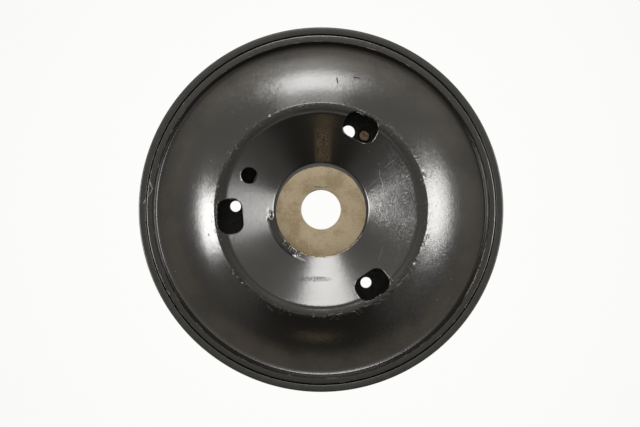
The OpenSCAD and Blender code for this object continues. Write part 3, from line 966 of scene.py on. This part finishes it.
def addBar(work, angle, radius, length, turn, up):
    # rounded bar, flat ended, lying on the surface
    centre = markPlace(angle, radius, up)
    wide = castMarks["barWide"]
    a = math.radians(angle + turn)
    along, across = Vector((math.cos(a), math.sin(a), 0)), Vector((-math.sin(a), math.cos(a), 0))
    rings = []
    for t in (-1, -0.75, 0, 0.75, 1):
        taper = 0.45 if abs(t) == 1 else 1
        ring = []
        for q in (-1, -0.7, 0, 0.7, 1):
            lift = math.sqrt(max(0, 1 - q * q)) * 0.6 * taper - 0.08
            offset = along * t * length / 2 + across * q * wide / 2 * taper + Vector((0, 0, lift))
            ring.append(work.verts.new(centre + offset * mm))
        rings.append(ring)
    for this, after in zip(rings, rings[1:]):
        for k in range(4):
            work.faces.new((this[k], this[k + 1], after[k + 1], after[k]))
        work.faces.new((this[0], after[0], after[4], this[4]))
    work.faces.new(list(reversed(rings[0])))
    work.faces.new(rings[-1])


def addLoop(work, angle, radius, across, thick, up):
    centre = markPlace(angle, radius, up)
    turns, sides = 20, 8
    grid = []
    for i in range(turns):
        t = 2 * math.pi * i / turns
        row = []
        for k in range(sides):
            q = 2 * math.pi * k / sides
            out = across / 2 + thick / 2 * math.cos(q)
            offset = Vector((out * math.cos(t) * 0.75, out * math.sin(t) * 1.35, thick / 2 * math.sin(q)))
            row.append(work.verts.new(centre + offset * mm))
        grid.append(row)
    for i in range(turns):
        for k in range(sides):
            n, m = (i + 1) % turns, (k + 1) % sides
            work.faces.new((grid[i][k], grid[n][k], grid[n][m], grid[i][m]))


def addCastMarks(piece):
    # plain raised marks: a loop at one end, short bars and a small loop at the other
    work = bmesh.new()
    work.from_mesh(piece.data)
    for loop in castMarks["loops"]:
        addLoop(work, *loop)
    addBar(work, *castMarks["tail"])
    for i, (angle, length, turn) in enumerate(castMarks["bars"]):
        radius = castMarks["barRadius"] + castMarks["barStagger"] * (i % 2)
        addBar(work, angle, radius, length, turn, castMarks["barHigh"])
    work.to_mesh(piece.data)
    work.free()


casting = makeCasting()
finishPiece(casting, "blackPaint", "hub", ["front_casting"])
print("front casting:", len(casting.data.polygons), "faces")


# Belt ring: sizes in mm
ringShape = {
    "outer": roundRadius("belt_ring") / mm, "width": 28.8,
    "grooves": 6, "pitch": 3.56, "depth": 2.8, "grooveAngle": 40, "grooveFloor": 0.3,
    "firstGroove": 2.0, "lip": 76.95, "bore": 72.5, "shoulder": 28.5, "bushBore": 69.05, "bushHigh": 10.0,
}


def beltProfile():
    b = ringShape
    low = faceMm - b["width"]
    floor = b["grooveFloor"]
    half = b["depth"] * math.tan(math.radians(b["grooveAngle"] / 2)) + floor
    points = [(b["bushBore"], low, 0.25), (b["outer"] - 0.5, low, 0.3), (b["outer"], low + 0.5, 0.3)]
    for i in range(b["grooves"]):
        middle = low + b["firstGroove"] + (i + 0.5) * b["pitch"]
        points += [(b["outer"], middle - half, 0.22), (b["outer"] - b["depth"], middle - floor, 0.24),
                   (b["outer"] - b["depth"], middle + floor, 0.24), (b["outer"], middle + half, 0.22)]
    points += [(b["outer"], faceMm - 0.45, 0.25), (b["outer"] - 0.45, faceMm, 0.25),
               (b["lip"], faceMm, 0.25), (b["lip"], b["shoulder"], 0.1), (b["bore"], b["shoulder"], 0.2),
               (b["bore"], b["bushHigh"], 0.2), (b["bushBore"], b["bushHigh"], 0.2)]
    return points


beltRing = turned("beltRing", beltProfile(), "ringCoat", segments=320)
finishPiece(beltRing, "ringCoat", "belt_ring", ["belt_ring"])
print("belt ring:", len(beltRing.data.polygons), "faces")


# Hub sleeve: sizes in mm
hubShape = {
    "outer": 20.8, "flange": 24.8, "flangeHigh": 3.48,
    "bolt": 8.75, "nose": 15.0, "boltWall": 8.0,
}


def makeHub():
    h = hubShape
    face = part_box("hub_sleeve")[1].z / mm
    profile = [(h["nose"], 0.0, 0.35), (h["flange"], 0.0, 0.35), (h["flange"], h["flangeHigh"], 0.15),
               (h["outer"], h["flangeHigh"], 0.0), (h["outer"], face, 0.12), (h["bolt"], face, 0.3),
               (h["bolt"], face - h["boltWall"], 0.3), (h["nose"], face - h["boltWall"], 0.3)]
    return turned("hubSleeve", profile, "bareSteel", segments=256, cornerSteps=4)


hubSleeve = makeHub()
finishPiece(hubSleeve, "bareSteel", "hub", ["hub_sleeve"])
print("hub sleeve:", len(hubSleeve.data.polygons), "faces")


# Rear plate: sizes in mm, directions in degrees
plateShape = {
    "inner": 20.82, "outer": 63.48, "low": 3.5, "high": 7.98,
    "tapped": (59.7, 177.7, 301.7), "tappedRadius": 38.8, "tappedHole": 2.5,
    "index": 70.7, "indexRadius": 37.4, "indexHole": 3.0,
    "rivets": 6, "rivetRadius": 29.5, "rivetHole": 2.52,
}


def plateCutter(name, angle, radius, hole):
    # a plug that flares at both faces of the plate
    p, ring, flare, past = plateShape, 40, 0.3, 0.02
    levels = ((p["high"] + 2, flare), (p["high"] + past, flare), (p["high"] - 0.28, 0.0),
              (p["low"] + 0.28, 0.0), (p["low"] - past, flare), (p["low"] - 2, flare))
    a = math.radians(angle)
    verts = []
    for z, out in levels:
        for k in range(ring):
            t = 2 * math.pi * k / ring
            verts.append(((math.cos(a) * radius + (hole + out) * math.cos(t)) * mm,
                          (math.sin(a) * radius + (hole + out) * math.sin(t)) * mm, z * mm))
    mesh = bpy.data.meshes.new("plateHole")
    mesh.from_pydata(verts, [], plugFaces(len(levels), ring))
    tidyNormals(mesh, 30)
    return linkMesh(mesh, name)


def makePlate():
    p = plateShape
    profile = [(p["inner"], p["low"], 0.1), (p["outer"], p["low"], 0.6), (p["outer"], p["high"], 0.4),
               (p["inner"], p["high"], 0.1)]
    work = turned("rearPlateWork", profile, "rearPaint", segments=192)
    holes = [(a, p["tappedRadius"], p["tappedHole"]) for a in p["tapped"]]
    holes.append((p["index"], p["indexRadius"], p["indexHole"]))
    holes += [(i * 360 / p["rivets"], p["rivetRadius"], p["rivetHole"]) for i in range(p["rivets"])]
    cutters = [plateCutter("plateHole%d" % i, *hole) for i, hole in enumerate(holes)]
    made = cutHoles(work, cutters, "rearPlate")
    tidyNormals(made.data, 38)
    return made


rearPlate = makePlate()
finishPiece(rearPlate, "rearPaint", "hub", ["rear_plate"])


def makeRivetTree():
    # copies its own geometry round a circle
    tree, given = newShapeTree("rivetCircle", (("Count", "Int"), ("Circle radius", "Float")))
    circle = addNode(tree, "GeometryNodeMeshCircle",
                     {"Vertices": given["Count"], "Radius": given["Circle radius"]})
    copies = addNode(tree, "GeometryNodeInstanceOnPoints",
                     {"Points": circle.outputs[0], "Instance": given["Geometry"]})
    return endShapeTree(tree, copies.outputs[0], given["Finish"])


# Rivet: the rear dome's centre and size, the shank, and the snapped front head's outline; mm
rivetShape = {
    "domeCentre": 3.46, "domeHigh": 1.55, "head": 3.75, "shank": 2.5, "shankLow": 3.48, "shankHigh": 12.02,
    "front": ((3.75, 12.02), (3.75, 12.5), (3.4, 13.1), (2.5, 13.5), (1.2, 13.6)), "turns": 32,
}


def rivetMesh():
    v = rivetShape
    outline = []
    for t in range(8, 91, 8):
        a = math.radians(t)
        outline.append((v["head"] * math.sin(a), v["domeCentre"] - v["domeHigh"] * math.cos(a)))
    outline += [(v["shank"], v["shankLow"]), (v["shank"], v["shankHigh"]), *v["front"]]
    turns, faces = v["turns"], []
    verts = [(0, 0, (v["domeCentre"] - v["domeHigh"]) * mm)]
    for r, z in outline:
        for k in range(turns):
            t = 2 * math.pi * k / turns
            verts.append((r * mm * math.cos(t), r * mm * math.sin(t), z * mm))
    last, top = len(verts), 1 + (len(outline) - 1) * turns
    verts.append((0, 0, v["front"][-1][1] * mm))
    for k in range(turns):
        n = (k + 1) % turns
        faces.append((0, 1 + n, 1 + k))
        faces.append((last, top + k, top + n))
        for i in range(len(outline) - 1):
            a = 1 + i * turns
            faces.append((a + k, a + n, a + turns + n, a + turns + k))
    mesh = bpy.data.meshes.new("rivet")
    mesh.from_pydata(verts, [], faces)
    return mesh


def makeRivets():
    settings = {"Count": plateShape["rivets"], "Circle radius": plateShape["rivetRadius"] * mm,
                "Finish": finishes["rivetSteel"]}
    return runShapeTree(linkMesh(rivetMesh(), "rivetWork"), makeRivetTree(), settings, "plateRivets")


rivets = makeRivets()
finishPiece(rivets, "rivetSteel", "hub", ["plate_rivets"])
print("rear plate:", len(rearPlate.data.polygons), "faces, rivets:", len(rivets.data.polygons), "faces")


# Pieces that keep their CAD shape, and their finishes
keptFinishes = {
    "locating_dowel": "dowelSteel", "isolator_inner_sleeve": "sleeveSteel",
    "isolator_outer_sleeve": "sleeveSteel", "isolator_rubber": "isolatorRubber",
    "front_thrust_ring": "slidePlastic", "slide_bush": "slidePlastic", "retaining_ring": "zincSteel",
    "damper_rubber": "damperRubber", "inertia_ring": "ringIron",
}
for nodeName, finish in keptFinishes.items():
    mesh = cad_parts[nodeName].data
    mesh.materials.clear()
    mesh.materials.append(finishes[finish])
print("kept CAD pieces painted:", len(keptFinishes))
